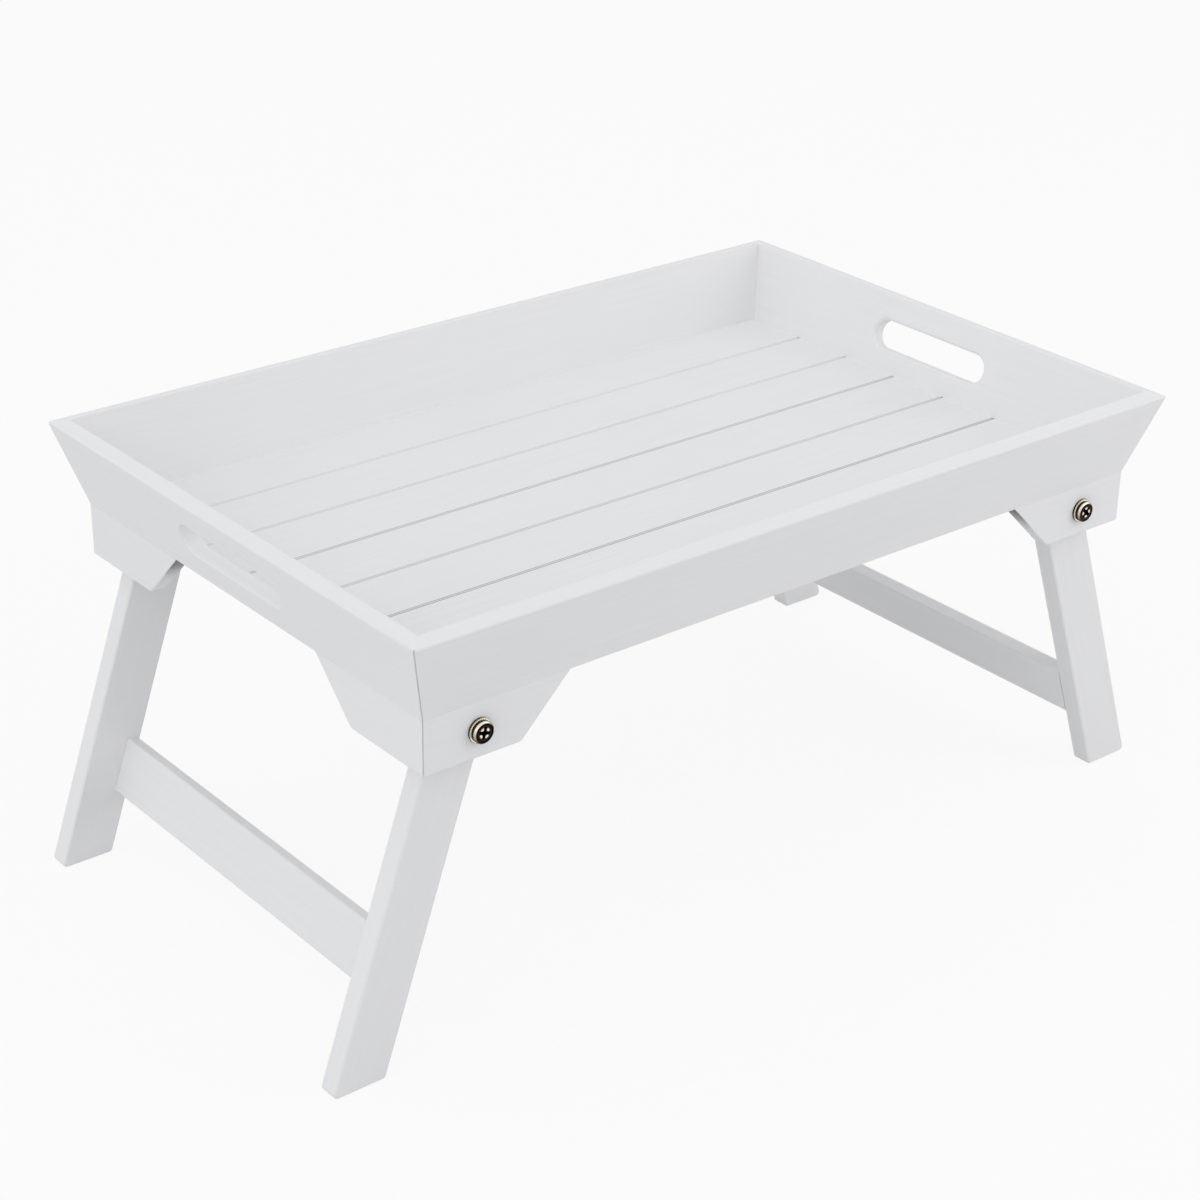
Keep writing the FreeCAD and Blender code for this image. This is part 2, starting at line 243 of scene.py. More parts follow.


# %% [markdown]
# ## Satin white paint
# The boards are planed softwood, primed and sprayed with a white satin paint. From
# close by, the grain still shows through as faint long ridges, and the sprayed film
# has a fine orange skin. All of that is weak: the eye reads clean white wood.
#
# Paint draws back from a sharp arris while it dries. The outer edges of the mitres wear a
# second paint of the same make, a shade darker: painted shade for the fine dark line
# that the crease between two boards shows.
#
# The pattern follows each board, so it reads a map that every board carries: its
# first value runs along the grain and its second across it, both in metres.

# %% Paint on wood
GRAIN_WIDTH = 1.4 * MM       # from one raised grain line to the next
GRAIN_LENGTH = 90 * MM       # how long such a line runs before it fades
SKIN_GRIT = 0.9 * MM         # orange skin of the sprayed film
PATCH_SIZE = 70 * MM         # slow changes of tone between parts of a board
RIDGE_HEIGHT = 0.02 * MM     # of the grain that shows through
SKIN_HEIGHT = 0.01 * MM      # of the orange skin
GLOSSIEST, DULLEST = 0.52, 0.66          # roughness of the satin film
PAINT_IOR = 1.48


def satin_paint(name, film, shade, painted_shade=None):
    """Sprayed satin paint: the colour of the film, and the darker shade that follows the grain.
    Where the last argument is given, it is called with the tree, the coordinates and the colour
    so far, and returns the node of a colour with painted shade that changes from place to place."""
    material, tree = new_material(name)
    board = add(tree, "ShaderNodeUVMap", {"uv_map": "grain"})
    spot = add(tree, "ShaderNodeTexCoord")
    along = add(tree, "ShaderNodeMapping", Vector=(board, "UV"),
                Scale=(1 / GRAIN_LENGTH, 1 / GRAIN_WIDTH, 1.0))
    lines = add(tree, "ShaderNodeTexNoise", {"noise_dimensions": "2D"}, Vector=(along, 0),
                Scale=1.0, Detail=3.0, Roughness=0.6, Distortion=0.25)
    skin = add(tree, "ShaderNodeTexNoise", Vector=(spot, "Object"), Scale=1 / SKIN_GRIT, Detail=2.0)
    patches = add(tree, "ShaderNodeTexNoise", Vector=(spot, "Object"), Scale=1 / PATCH_SIZE, Detail=2.0)
    tone = add(tree, "ShaderNodeMath", {"operation": "MULTIPLY_ADD"},
               n0=(patches, 0), n1=0.6, n2=(lines, 0))
    tone = add(tree, "ShaderNodeMapRange", Value=(tone, 0), From_Min=0.4, From_Max=1.2)
    colour = add(tree, "ShaderNodeMix", {"data_type": "RGBA"}, n0=(tone, 0),
                 n6=linear(film), n7=linear(shade))
    if painted_shade:
        colour = painted_shade(tree, spot, colour)
    gloss = add(tree, "ShaderNodeMapRange", Value=(skin, 0), To_Min=GLOSSIEST, To_Max=DULLEST)
    ridges = add(tree, "ShaderNodeBump", Height=(lines, 0), Strength=0.3, Distance=RIDGE_HEIGHT)
    film_skin = add(tree, "ShaderNodeBump", Height=(skin, 0), Strength=0.2, Distance=SKIN_HEIGHT,
                    Normal=(ridges, 0))
    paint = add(tree, "ShaderNodeBsdfPrincipled", Base_Color=(colour, 2), Roughness=(gloss, 0),
                Normal=(film_skin, 0), IOR=PAINT_IOR)
    add(tree, "ShaderNodeOutputMaterial", Surface=(paint, 0))
    return material


wall_paint = satin_paint("satin_white_paint_on_wood", "#EFEFF0", "#EBEBEC")
floor_paint = satin_paint("satin_white_paint_on_floor_boards", "#EFEFF0", "#EAEAEB")
# painted shade: a darker paint for the flats beside each mitre, where the crease of the joint is shaded
joint_shade_paint = satin_paint("painted_shade_in_joints", "#E6E6E7", "#DFDFE1")
print("paints", wall_paint.name, floor_paint.name, joint_shade_paint.name)

# %% [markdown]
# ## Painted shade in the grooves of the floor
# The long edges of the floor boards wear a third paint, a grey of painted shade that
# darkens each groove by a strength of its own, on top of the shade that the groove's
# shape gives. A colour ramp with one flat step for each groove, read from the front to
# the back, gives every groove its own mix. Where a groove ends at the end wall, a small
# dark spot of painted shadow stands for the shade in the gap there.

# %% Paint in the grooves
GROOVE_SHADES = (1.0, 1.1, 0.7, 0.95, 0.42, 0.3)       # how dark each groove's painted shade is, from the front groove back
# painted shadow: the dark spot where each groove ends at the end wall
GROOVE_SHADE_GREY, END_SHADOW = linear("#C2C2C4"), linear("#5E5B58")
SHADOW_START, SHADOW_FULL = 2.2 * MM, 1.0 * MM       # measured back from the end of the groove

board_low, board_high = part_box("floor_board_4")
groove_end = board_high[0]
all_grooves = len(GROOVE_SHADES) * (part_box("floor_board_5")[0][1] - board_low[1])


def shade_in_grooves(tree, spot, colour):
    """Each groove's own mix of full film and a grey of painted shade, and a spot of painted
    shadow at its ends. Both follow the same flat step of the ramp, which is read along Y."""
    axes = add(tree, "ShaderNodeSeparateXYZ", Vector=(spot, "Object"))
    across = add(tree, "ShaderNodeMapRange", Value=(axes, "Y"),
                 From_Min=-all_grooves / 2, From_Max=all_grooves / 2)
    steps = add(tree, "ShaderNodeValToRGB", Fac=(across, 0))
    ramp = steps.color_ramp
    ramp.interpolation = "CONSTANT"
    ramp.elements.remove(ramp.elements[1])
    for number, step_tone in enumerate(GROOVE_SHADES):
        step = ramp.elements.new(number / len(GROOVE_SHADES)) if number else ramp.elements[0]
        step.color = (step_tone, step_tone, step_tone, 1.0)
    colour = add(tree, "ShaderNodeMix", {"data_type": "RGBA", "clamp_factor": False},
                 n0=(steps, "Color"), n6=(colour, 2), n7=GROOVE_SHADE_GREY)
    end = add(tree, "ShaderNodeMath", {"operation": "ABSOLUTE"}, n0=(axes, "X"))
    end_tone = add(tree, "ShaderNodeMapRange", Value=(end, 0),
               From_Min=groove_end - SHADOW_START, From_Max=groove_end - SHADOW_FULL)
    end_tone = add(tree, "ShaderNodeMath", {"operation": "MULTIPLY"}, n0=(end_tone, 0), n1=(steps, "Color"))
    return add(tree, "ShaderNodeMix", {"data_type": "RGBA"}, n0=(end_tone, 0), n6=(colour, 2), n7=END_SHADOW)


# painted shade in the grooves, and painted shadow at their ends
groove_shade_paint = satin_paint("painted_shade_in_floor_grooves", "#EDEDEE", "#E8E8E9", shade_in_grooves)
print("grooves every %.1f mm, to x %.1f mm" % (all_grooves / len(GROOVE_SHADES) / MM, groove_end / MM))

# %% [markdown]
# ## Softened boards
# A board's outline, bevels and seats are already true in the CAD model. What it lacks
# is the small roll that sanding and paint give each arris. Modelling that in the CAD
# would cost thousands of facets, so here a copy of each board gets a Bevel modifier,
# which rolls the edges that are sharp enough. Edges of a planed bevel, which turn by
# about 45 degrees, are rolled widely, so the bevel reads as a rounding, and square
# edges only a little. The edges round a mitre are hardly rolled, because paint closes
# the joint there, apart from the outer one: a first Bevel gives it a narrow flat in
# the darker paint, and where two boards meet, the two flats leave a fine dark line of
# painted shade. On a floor board that first Bevel rolls the long edges, in the painted
# shade of the grooves.
#
# All mitres of the tray lie in four upright planes, in which a point's X and Y,
# without their signs, differ by the same length. That is how they are found.
#
# Smooth shading would bend the light across a whole board towards its rolled edges.
# Weighted Normal lets the largest face at each corner decide, so flats look flat.

# %% A clean copy of a board
MERGED = 0.004 * MM                   # CAD corners closer than this are one corner
LEVEL_TURN = math.radians(0.4)        # faces that turn by less than this are one face


def clean_copy(node):
    """The loose triangles of a CAD node, merged into one closed mesh of large flat faces."""
    shape = bmesh.new()
    shape.from_mesh(frame["nodes"][node].data)
    bmesh.ops.remove_doubles(shape, verts=shape.verts, dist=MERGED)
    bmesh.ops.dissolve_limit(shape, angle_limit=LEVEL_TURN, verts=shape.verts, edges=shape.edges)
    mesh = bpy.data.meshes.new(node + "_painted")
    shape.to_mesh(mesh)
    shape.free()
    return mesh


# %% How sharp each edge is
def values_of(items, key, width=1, kind=float):
    """One property of all points, edges, corners or faces of a mesh, as one array."""
    values = np.empty(width * len(items), dtype=kind)
    items.foreach_get(key, values)
    return values.reshape(-1, width) if width > 1 else values


def edge_turns(mesh):
    """Angle in degrees between the normals of the two faces at each edge."""
    sizes = values_of(mesh.polygons, "loop_total", kind=int)
    normals = values_of(mesh.polygons, "normal", 3)
    edge_of_corner = values_of(mesh.loops, "edge_index", kind=int)
    face_of_corner = np.repeat(np.arange(len(sizes)), sizes)
    pairs = face_of_corner[np.argsort(edge_of_corner, kind="stable")].reshape(-1, 2)
    cosine = (normals[pairs[:, 0]] * normals[pairs[:, 1]]).sum(axis=1)
    return np.degrees(np.arccos(np.clip(cosine, -1.0, 1.0)))


# %% Which edges are joints and which are rolled
FLAT_TURN, BEVEL_TURN, SQUARE_TURN, JOINT_TURN = 22, 60, 100, 120        # degrees
CLOSED = 0.04                         # mm, roll beside a joint that paint has closed
ON_MITRE = 0.05 * MM                  # points nearer than this to a mitre plane lie in it
wall_low, wall_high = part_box("front_wall")
MITRE = wall_high[0] + wall_low[1]    # by how much X is longer than Y in a mitre plane


def edge_shares(mesh, along, wide, narrow, grooved):
    """Share of its Bevel's width that each edge gets, first as a joint and then as a roll.
    Roll: none where the surface turns by less than FLAT_TURN, wide up to BEVEL_TURN, narrow up
    to SQUARE_TURN, none past it, and CLOSED on every edge in a mitre plane.
    Joint: an edge in a mitre plane past JOINT_TURN or, on a grooved board, the roll of its long
    edges. An edge that is a joint has no other roll."""
    places = values_of(mesh.vertices, "co", 3)
    ends = values_of(mesh.edges, "vertices", 2, int)
    ways = places[ends[:, 1]] - places[ends[:, 0]]
    lengthwise = np.abs(ways @ along) > 0.99 * np.linalg.norm(ways, axis=1)
    off_mitre = np.abs(np.abs(places[:, 0]) - np.abs(places[:, 1]) - MITRE)
    mitred = ~lengthwise & (off_mitre[ends].max(axis=1) < ON_MITRE)
    turns = edge_turns(mesh)
    rolled = np.select([turns < FLAT_TURN, turns < BEVEL_TURN, turns < SQUARE_TURN],
                       [0.0, 1.0, narrow / wide], 0.0)
    joint = np.where(lengthwise, rolled, 0.0) if grooved else 1.0 * (mitred & (turns > JOINT_TURN))
    return joint, np.where(joint > 0, 0.0, np.where(mitred, CLOSED / wide, rolled))


# %% The map that the grain follows
def map_grain(mesh, along):
    """u = way along the grain plus a start of the board's own, v = way beside it plus way through
    the board, in metres. The start keeps two boards from showing the same grain."""
    beside = np.cross(along, (0.0, 0.0, 1.0))
    beside /= np.linalg.norm(beside)
    through = np.cross(along, beside)
    places = values_of(mesh.vertices, "co", 3)[values_of(mesh.loops, "vertex_index", kind=int)]
    start = 0.37 * len(bpy.data.meshes)
    grain = np.stack([places @ along + start, places @ beside + places @ through], axis=1)
    mesh.uv_layers.new(name="grain").data.foreach_set("uv", grain.ravel())


# %% Soften a board
JOINT_WIDTH, ROLL_STEPS = 0.5, 3      # mm; facets across a roll


def softened(node, along, material, wide=0.5, narrow=0.22, groove=None):
    """Copy of a board with rolled arrises; along is the way its grain runs, wide and narrow in mm.
    groove is the paint of painted shade in the grooves beside a floor board: its rolled long edges wear
    it."""
    mesh = clean_copy(node)
    along = np.array(along) / np.linalg.norm(along)
    joint, rolled = edge_shares(mesh, along, wide, narrow, bool(groove))
    for name, shares in (("rolled", rolled), ("joint", joint)):
        mesh.attributes.new(name, "FLOAT", "EDGE").data.foreach_set("value", shares)
    map_grain(mesh, along)
    mesh.polygons.foreach_set("use_smooth", np.ones(len(mesh.polygons), dtype=bool))
    piece = stand_in(node + "_painted", mesh, node, [material, groove or joint_shade_paint])
    joint_bevel = ("joint", wide, ROLL_STEPS, 1) if groove else ("joint", JOINT_WIDTH, 1, 1)
    for edges, width, segments, slot in (joint_bevel, ("rolled", wide, ROLL_STEPS, -1)):
        bevel = piece.modifiers.new(edges, "BEVEL")
        bevel.limit_method = "WEIGHT"
        bevel.edge_weight = edges
        bevel.width = width * MM
        bevel.segments = segments
        bevel.material = slot
        bevel.use_clamp_overlap = edges == "rolled"
    shading = piece.modifiers.new("flat_faces_stay_flat", "WEIGHTED_NORMAL")
    shading.mode = "FACE_AREA"
    shading.weight = 100


# %% [markdown]
# ## Tray, corner boards and leg frames
# The grain runs the long way of each piece: along the walls, the floor boards, the
# battens and the crossbars, and down the splayed legs.

# %% All boards
SPLAY = math.radians(19)
X_WAY, Y_WAY = (1.0, 0.0, 0.0), (0.0, 1.0, 0.0)
for node in ("front_wall", "back_wall"):
    softened(node, X_WAY, wall_paint)
for node in ("left_end_wall", "right_end_wall"):
    softened(node, Y_WAY, wall_paint)
for number in range(1, 8):
    softened("floor_board_%d" % number, X_WAY, floor_paint, wide=0.3, narrow=0.15, groove=groove_shade_paint)
for side, outward in (("left", -1), ("right", 1)):
    softened("floor_batten_" + side, Y_WAY, wall_paint)
    softened(side + "_crossbar", Y_WAY, wall_paint, wide=0.4)
    for end in ("front", "back"):
        softened("bracket_%s_%s" % (end, side), X_WAY, wall_paint, wide=0.4)
        softened("end_bracket_%s_%s" % (side, end), Y_WAY, wall_paint, wide=0.4)
        down_leg = (outward * math.sin(SPLAY), 0.0, -math.cos(SPLAY))
        softened("%s_%s_leg" % (side, end), down_leg, wall_paint, wide=0.4)

# %% [markdown]
# ## Turned metal
# Bolts, washers and nuts are turned on a lathe, so each is a profile carried round an
# axis: a grid of points with one row per profile point and one column per angle. The
# grid can then be pushed about by a formula: ribs, a thread or a recess are only a
# change of radius or height with the angle.

# %% From a grid to a mesh
ROUND_STEPS = 168
ANGLES = np.linspace(0, 2 * math.pi, ROUND_STEPS, endpoint=False)
POLE_MERGE = 0.0001 * MM              # the points of a ring with no radius are one point


def carried_round(radius, distance, centre, outward):
    """Grid (rows, columns, 3): x = cx + r cos a, y = cy + outward * distance, z = cz + r sin a."""
    radius = radius + 0.0 * ANGLES
    distance = distance + 0.0 * ANGLES
    return np.stack([
        centre[0] + radius * np.cos(ANGLES) * MM,
        centre[1] + outward * distance * MM,
        centre[2] + radius * np.sin(ANGLES) * MM,
    ], axis=-1)


def mesh_of_grids(name, grids, rubbed, finish=0, looped=False):
    """Quads between neighbouring rows and columns of each grid. Columns close into rings, and so
    do the rows of a looped profile. The level of wear and painted shine, from 0 to 1, is stored at each
    point."""
    grids = np.stack(grids)
    copies, rows, columns = grids.shape[:3]
    row = np.arange(rows if looped else rows - 1)[:, None]
    column = np.arange(columns)[None, :]
    next_row, next_column = (row + 1) % rows, (column + 1) % columns
    corners = np.stack(np.broadcast_arrays(
        row * columns + column, row * columns + next_column,
        next_row * columns + next_column, next_row * columns + column), axis=-1).reshape(-1, 4)
    faces = np.concatenate([corners + k * rows * columns for k in range(copies)])
    mesh = bpy.data.meshes.new(name)
    mesh.from_pydata(grids.reshape(-1, 3), [], faces)
    owner = np.repeat(np.broadcast_to(finish, rows)[:len(row)], columns)
    mesh.polygons.foreach_set("material_index", np.tile(owner, copies))
    level = (rubbed + 0.0 * grids[..., 0]).ravel()
    mesh.attributes.new("rubbed", "FLOAT", "POINT").data.foreach_set("value", level)
    shape = bmesh.new()
    shape.from_mesh(mesh)
    bmesh.ops.remove_doubles(shape, verts=shape.verts, dist=POLE_MERGE)
    bmesh.ops.recalc_face_normals(shape, faces=shape.faces)
    shape.to_mesh(mesh)
    shape.free()
    mesh.polygons.foreach_set("use_smooth", np.ones(len(mesh.polygons), dtype=bool))
    return mesh


print("angle between columns %.2f degrees" % (360 / ROUND_STEPS))

# %% [markdown]
# ## Where the pivots are
# The four bolts stand at the corners of the box that holds their CAD node, in from
# its edges by the radius and the height of the head.

# %% Pivot places
HEAD_RADIUS, FACE = 5.8, 4.2              # mm; the head's face stands 4.2 mm off the board
bolt_low, bolt_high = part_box("pivot_bolts")
pivot_x = bolt_high[0] - HEAD_RADIUS * MM
pivot_z = (bolt_low[2] + bolt_high[2]) / 2
board_face = bolt_high[1] - FACE * MM
PIVOTS = [((x, way * board_face, pivot_z), way) for way in (-1, 1) for x in (-pivot_x, pivot_x)]
print("pivots at x %.2f y %.2f z %.2f mm" % (pivot_x / MM, board_face / MM, pivot_z / MM))

# %% [markdown]
# ## Metal and nylon
# Antique brass is brass that was dipped until it is brown-black and then tumbled, so
# the dip thins to brown and bare metal shines through where something rubs: on the rim
# and round the recess. On the bolts and washers the same tones also carry painted light:
# painted highlights on one side of the rim, on the washer's face and between the arms of
# the cross, and painted shade towards the board. Zinc plate is a pale grey metal with
# small clouds of tone. Nylon is milky and lets a little light in.
#
# How far each point is worn, together with its painted shine, is stored in the mesh, and
# a fine noise breaks it up.

# %% Antique brass and zinc plate
THINNING, THROUGH, SHINING = 0.25, 0.65, 1.1     # levels: dark below the first, bare metal and painted shine from the last
SCRATCH_DEPTH = 0.02 * MM


def metal_by_wear_and_shine(name, dark, step_tone, end_tone, polish, fleck):
    """Metal that goes from a dark through a thin to a bare tone. Its level is the stored wear
    and painted shine plus half a noise, and barer metal is smoother, down to polish."""
    material, tree = new_material(name)
    spot = add(tree, "ShaderNodeTexCoord")
    flecks = add(tree, "ShaderNodeTexNoise", Vector=(spot, "Object"), Scale=1 / fleck, Detail=4.0)
    stored_wear_and_shine = add(tree, "ShaderNodeAttribute", {"attribute_name": "rubbed"})
    level = add(tree, "ShaderNodeMath", {"operation": "MULTIPLY_ADD"},
                n0=(flecks, 0), n1=0.5, n2=(stored_wear_and_shine, "Fac"))
    dark_to_thin = add(tree, "ShaderNodeMapRange", Value=(level, 0), From_Min=THINNING, From_Max=THROUGH)
    bright = add(tree, "ShaderNodeMapRange", Value=(level, 0), From_Min=THROUGH, From_Max=SHINING)
    colour = add(tree, "ShaderNodeMix", {"data_type": "RGBA"},
                 n0=(dark_to_thin, 0), n6=linear(dark), n7=linear(step_tone))
    colour = add(tree, "ShaderNodeMix", {"data_type": "RGBA"},
                 n0=(bright, 0), n6=(colour, 2), n7=linear(end_tone))
    gloss = add(tree, "ShaderNodeMapRange", Value=(level, 0), To_Min=polish + 0.15, To_Max=polish)
    scratches = add(tree, "ShaderNodeBump", Height=(flecks, 0), Strength=0.15, Distance=SCRATCH_DEPTH)
    surface = add(tree, "ShaderNodeBsdfPrincipled", Base_Color=(colour, 2), Metallic=1.0,
                  Roughness=(gloss, 0), Normal=(scratches, 0))
    add(tree, "ShaderNodeOutputMaterial", Surface=(surface, 0))
    return material


# the brightest brass tone is bare metal and also painted reflection
antique_brass = metal_by_wear_and_shine("antique_brass_worn_and_painted_shine", "#0E0A08", "#5A4534", "#F3EDE0",
                             polish=0.18, fleck=0.5 * MM)
zinc_plate = metal_by_wear_and_shine("zinc_plated_steel", "#8E9498", "#B9BDBF", "#DADBD8",
                          polish=0.28, fleck=0.8 * MM)
print("metals", antique_brass.name, zinc_plate.name)

# %% Nylon
HAZE_SIZE = 1.5 * MM         # clouds in the nylon, and how deep light goes into it
HAZE_HEIGHT = 0.03 * MM
NYLON_IOR = 1.53


def milky_nylon():
    """Moulded nylon: a haze of two near whites under a soft gloss."""
    material, tree = new_material("milky_nylon")
    spot = add(tree, "ShaderNodeTexCoord")
    haze = add(tree, "ShaderNodeTexNoise", Vector=(spot, "Object"), Scale=1 / HAZE_SIZE, Detail=2.0)
    milk = add(tree, "ShaderNodeMix", {"data_type": "RGBA"}, n0=(haze, 0), n6=linear("#DEDBD2"),
               n7=linear("#EFEDE6"))
    gloss = add(tree, "ShaderNodeMapRange", Value=(haze, 0), To_Min=0.35, To_Max=0.5)
    skin = add(tree, "ShaderNodeBump", Height=(haze, 0), Strength=0.1, Distance=HAZE_HEIGHT)
    plastic = add(tree, "ShaderNodeBsdfPrincipled", Base_Color=(milk, 2), Roughness=(gloss, 0),
                  Normal=(skin, 0), IOR=NYLON_IOR, Subsurface_Weight=0.2, Subsurface_Scale=HAZE_SIZE)
    add(tree, "ShaderNodeOutputMaterial", Surface=(plastic, 0))
    return material


nylon = milky_nylon()
print("plastic", nylon.name)

# %% [markdown]
# ## Washers and spacers
# A washer is a closed profile carried round: a rectangle whose corners are rolled.
# The brass washer under each head is dark at its outer edge and bright on its face: dip
# and wear, with painted shade on the edge and a painted highlight on the face. The nylon
# spacer keeps the leg off the corner board, and the steel washer lies between the leg and
# the nut.

# %% Profile of a ring
BORE = 3.2                # mm, radius of the hole in washers and spacers


def arc_rows(radius, distance, roll, start, end, count=5):
    """Points of a rolled edge: a circle of the roll's radius round (radius, distance), in degrees."""
    turn = np.radians(np.linspace(start, end, count))
    return np.stack([radius + roll * np.cos(turn), distance + roll * np.sin(turn)], axis=1)


def ring_profile(outer, low, high, roll):
    """Rounded rectangle in (radius, distance): a quarter circle at each of its four corners."""
    middles = [(outer - roll, high - roll), (BORE + roll, high - roll),
               (BORE + roll, low + roll), (outer - roll, low + roll)]
    return np.concatenate([arc_rows(radius, distance, roll, 90 * k, 90 * k + 90)
                           for k, (radius, distance) in enumerate(middles)])


print("points round a washer", len(ring_profile(6.5, 0.0, 1.0, 0.3)))

# %% Rings
def make_rings(node, outer, low, high, roll, material, face_wear_and_shine):
    """One ring at each pivot, with a level of wear and painted highlight on the face that looks
    outward, given by the last argument. Sizes in mm: outer radius, distances from the board's face, and
    the radius of the rolled corners."""
    profile = ring_profile(outer, low, high, roll)
    on_face = (profile[:, 1:] > high - 0.5 * roll) & (profile[:, :1] < outer - 0.4 * roll)
    grids = [carried_round(profile[:, :1], profile[:, 1:], centre, way) for centre, way in PIVOTS]
    mesh = mesh_of_grids(node + "_turned", grids, np.where(on_face, face_wear_and_shine, 0.0), looped=True)
    print(stand_in(node + "_turned", mesh, node, [material]).name, len(mesh.polygons), "faces")


# brass washer: the bright face is a painted highlight, the dark edge painted shade
make_rings("pivot_head_washers", 6.5, 0.0, 1.0, 0.3, antique_brass, 0.9)
make_rings("pivot_spacers", 7.0, -13.0, -10.0, 0.25, nylon, 0.0)
make_rings("pivot_inner_washers", 6.25, -26.8, -25.6, 0.3, zinc_plate, 0.5)

# %% [markdown]
# ## Bolts
# The head is a low cylinder with fine ribs round its side, a turned groove just inside
# its rolled rim, and a cross recess. Behind it come a plain shank and, past the leg,
# the thread that the nut sits on. One grid makes all of it: its rows run from the tip
# to the middle of the head's face. The dip stays black in the groove and the recess.
# Bright spots between the arms of the cross are painted highlights, the rim is lighter
# on one side as a painted highlight, and the side is darker towards the board as
# painted shade.

# %% Rows of the bolt
TIP, THREAD_START, SEAT, SHANK = -34.4, -26.0, 1.0, 3.0      # mm; SHANK is a radius
LOW_ROLL, RIM_ROLL = 0.3, 1.0                                # mm, at the head's two edges

bolt_parts = {
    "tip": np.array([[0.0, TIP], [1.0, TIP]]),
    "thread": np.stack([np.full(50, SHANK), np.linspace(TIP, THREAD_START, 50)], axis=1),
    "shank": np.array([[SHANK, THREAD_START + 0.1], [SHANK, -10.0], [SHANK, SEAT]]),
    "low_edge": arc_rows(HEAD_RADIUS - LOW_ROLL, SEAT + LOW_ROLL, LOW_ROLL, -90, 0),
    "side": np.stack([np.full(5, HEAD_RADIUS), np.linspace(SEAT + 0.5, FACE - 1.15, 5)], axis=1),
    "high_edge": arc_rows(HEAD_RADIUS - RIM_ROLL, FACE - RIM_ROLL, RIM_ROLL, 0, 90, 7),
    "face": np.stack([np.linspace(HEAD_RADIUS - 1.1, 0.0, 44), np.full(44, FACE)], axis=1),
}
bolt_profile = np.concatenate(list(bolt_parts.values()))
bolt_part = np.repeat(list(bolt_parts), [len(rows) for rows in bolt_parts.values()])[:, None]
print("bolt rows", len(bolt_profile))

# %% Thread, ribs, groove and recess
PITCH, THREAD_DEPTH, RUN_OUT, TIP_RADIUS = 1.0, 0.5, 0.8, 2.2            # mm
RIBS, RIB_DEPTH = 28, 0.25
GROOVE_RADIUS, GROOVE_WIDTH, GROOVE_DEPTH = 4.25, 0.25, 0.2
ARM_WIDTH, ARM_REACH, ARM_TAPER, RECESS_DEPTH = 1.6, 3.3, 0.12, 2.0
RIB_WAVE = (0.5 - 0.5 * np.cos(RIBS * ANGLES)) ** 2      # 0 on top of a rib, 1 between two


def from_cross(radius, twist):
    """Way along the nearest arm of the cross, and way beside it: the larger and the smaller of
    a point's two coordinates, without their signs."""
    x, z = np.abs(radius * np.cos(ANGLES + twist)), np.abs(radius * np.sin(ANGLES + twist))
    return np.maximum(x, z), np.minimum(x, z)


def bolt_shape(twist):
    """Radius and distance of the bolt's grid, and how deep in the recess each point is, 0 to 1.
    Thread: radius falls by a triangle wave of distance / pitch - angle / full turn, and the tip
    is a cone. Ribs: radius falls by the square of half a cosine wave of the angle.
    Groove: the face falls by a bell curve of the distance from the groove's radius.
    Recess: the face falls to the recess's depth inside a cross of two tapered arms."""
    radius = bolt_profile[:, :1] + 0.0 * ANGLES
    distance = bolt_profile[:, 1:] + 0.0 * ANGLES
    wave = np.abs(2 * ((distance / PITCH - ANGLES / (2 * math.pi)) % 1.0) - 1.0)
    run_out = np.clip((THREAD_START - distance) / RUN_OUT, 0, 1)
    threaded = np.minimum(radius - THREAD_DEPTH * wave * run_out, TIP_RADIUS + distance - TIP)
    radius = np.where(bolt_part == "thread", threaded, radius)
    ribbed = np.select([bolt_part == "side", bolt_part == "low_edge"], [1.0, 0.6], 0.0)
    radius = radius - RIB_DEPTH * ribbed * RIB_WAVE
    along, beside = from_cross(radius, twist)
    half_width = ARM_WIDTH / 2 * (1.0 - ARM_TAPER * along / ARM_REACH)
    inside = np.clip((half_width - beside) / 0.4 + 0.5, 0, 1) * np.clip((ARM_REACH - along) / 0.5, 0, 1)
    inside = np.where(bolt_part == "face", inside, 0.0)
    bell = np.exp(-((radius - GROOVE_RADIUS) / GROOVE_WIDTH) ** 2)
    groove = np.where(bolt_part == "face", bell, 0.0)
    distance = distance - RECESS_DEPTH * inside * inside * (3 - 2 * inside) - GROOVE_DEPTH * groove
    return radius, distance, inside


# %% Where the bolt is worn and where its shine is painted
BLACK_FROM = 3.7                      # mm, radius on the face past which the dip stays black
GLINT_RADIUS, GLINT_SIZE = 2.3, 0.6     # mm, where the painted highlights between the arms lie, and how widely


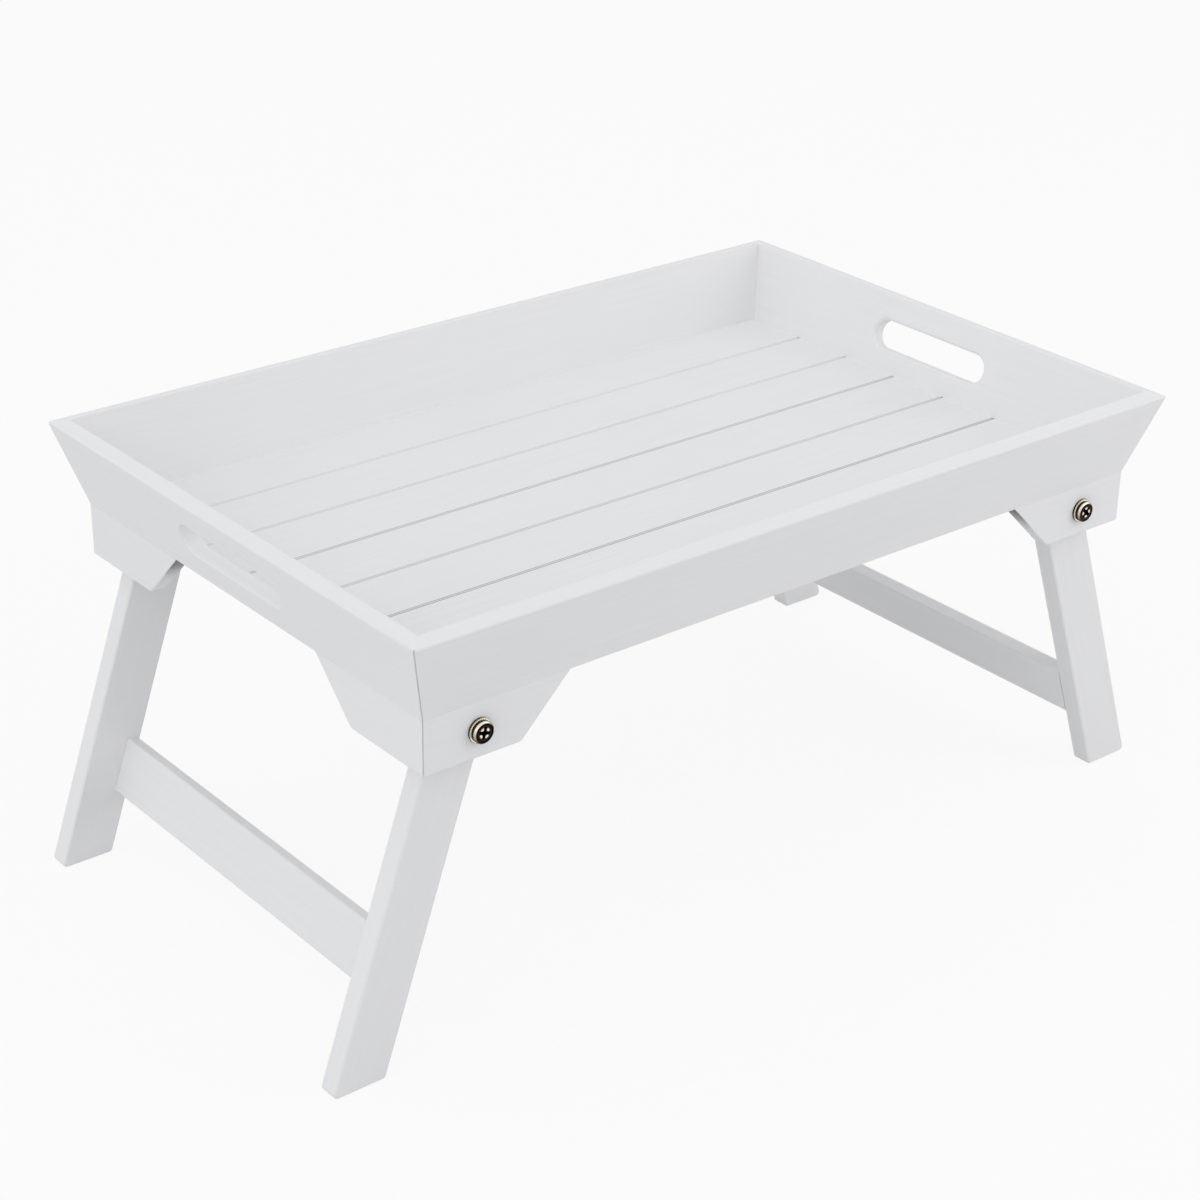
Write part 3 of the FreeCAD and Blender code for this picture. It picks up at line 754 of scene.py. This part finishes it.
def bolt_wear_and_shine(radius, distance, inside, twist):
    """Level of wear and painted shine at each point. Low edge: all but bare. Side: more towards
    the rim, as painted shade lower down, and on top of the ribs. Rim: more on one side, by a
    sine of the angle, as a painted highlight, and less towards the groove. Face: black in the
    recess and past BLACK_FROM, bright in four bell-shaped spots of painted highlight that lie
    between the arms. Shank and thread: a plain 0.3."""
    along, beside = from_cross(radius, twist)
    diagonal = np.clip((beside / np.maximum(along, 0.1) - 0.3) / 0.3, 0, 1)
    # painted highlight: four bright spots between the arms of the cross
    spot = np.exp(-((radius - GLINT_RADIUS) / GLINT_SIZE) ** 2) * diagonal * np.clip(1 - 4 * inside, 0, 1)
    face = 0.15 + 1.1 * spot - 0.6 * np.clip((radius - BLACK_FROM) / 0.3, 0, 1)
    face = np.where(inside > 0.5, -0.3, face)
    # painted shade: the side darkens towards the board
    up_side = np.clip((distance - SEAT) / (FACE - SEAT), 0, 1)
    # painted highlight: the rim is lighter on one side, by a sine of the angle
    rim = 0.45 + 0.4 * np.sin(ANGLES - 0.5) - 0.9 * np.clip((HEAD_RADIUS - 0.75 - radius) / 0.3, 0, 1)
    levels = [0.9, 0.45 * up_side - 0.25 + 0.3 * (1 - RIB_WAVE), rim, face]
    parts = [bolt_part == name for name in ("low_edge", "side", "high_edge", "face")]
    return np.select(parts, levels, 0.3)


# %% The four bolts
TWISTS = (0.25, 0.75, 0.3, 1.1)       # how far each bolt happened to be turned, radians

bolt_grids, bolt_wear_and_shines = [], []
for twist, (centre, way) in zip(TWISTS, PIVOTS):
    radius, distance, inside = bolt_shape(twist)
    bolt_grids.append(carried_round(radius, distance, centre, way))
    bolt_wear_and_shines.append(bolt_wear_and_shine(radius, distance, inside, twist))
bolt_mesh = mesh_of_grids("pivot_bolts_turned", bolt_grids, np.stack(bolt_wear_and_shines))
stand_in("pivot_bolts_turned", bolt_mesh, "pivot_bolts", [antique_brass])
print("bolts", len(bolt_mesh.polygons), "faces")

# %% [markdown]
# ## Lock nuts
# A nut that must stay put while the leg turns on its bolt has a nylon ring pressed
# into a round collar. Its hexagon is a radius that changes with the angle, and the
# chamfer at both ends is a cone: wherever the cone is smaller, it cuts the corner.

# %% Rows of the lock nut
NUT_HIGH, NUT_LOW, COLLAR_END = -26.8, -31.8, -33.4          # mm
FLAT, NUT_BORE, COLLAR = 5.0, 3.05, 4.5                      # radii
RING_OUTER, RING_SUNK, COLLAR_ROLL = 3.9, 0.25, 0.4          # the nylon ring and the collar's edge
CONE_START, CONE_SLOPE = FLAT - 0.25, math.radians(30)       # the chamfer
RING_FLOOR = COLLAR_END + RING_SUNK

depth = np.array([0.0, 0.1, 0.25, 0.45, 0.7])
cone = CONE_START + depth / math.tan(CONE_SLOPE)
nut_parts = {
    "upper": np.stack([cone, NUT_HIGH - depth], axis=1),
    "lower": np.stack([cone, NUT_LOW + depth], axis=1)[::-1],
    "collar": np.array([[COLLAR, NUT_LOW], [COLLAR, COLLAR_END + 0.5]]),
    "collar_edge": arc_rows(COLLAR - COLLAR_ROLL, COLLAR_END + COLLAR_ROLL, COLLAR_ROLL, 0, -90),
    "ring": np.array([[RING_OUTER, COLLAR_END], [RING_OUTER, RING_FLOOR],
                      [NUT_BORE + 0.15, RING_FLOOR], [NUT_BORE, RING_FLOOR + 0.15]]),
    "bore": np.array([[NUT_BORE, NUT_LOW], [NUT_BORE, NUT_HIGH - 0.3], [NUT_BORE + 0.3, NUT_HIGH]]),
}
nut_profile = np.concatenate(list(nut_parts.values()))
nut_part = np.repeat(list(nut_parts), [len(rows) for rows in nut_parts.values()])
print("nut rows", len(nut_profile))

# %% The four nuts
NUT_RUB = 0.45

hexagon = FLAT / np.cos(ANGLES % (math.pi / 3) - math.pi / 6)
nut_radius = np.where(np.isin(nut_part, ("upper", "lower"))[:, None],
                      np.minimum(nut_profile[:, :1], hexagon), nut_profile[:, :1] + 0.0 * ANGLES)
nut_grids = [carried_round(nut_radius, nut_profile[:, 1:], centre, way) for centre, way in PIVOTS]
nut_mesh = mesh_of_grids("pivot_nuts_turned", nut_grids, NUT_RUB, (nut_part == "ring") * 1, looped=True)
stand_in("pivot_nuts_turned", nut_mesh, "pivot_nuts", [zinc_plate, nylon])
print("nuts", len(nut_mesh.polygons), "faces")
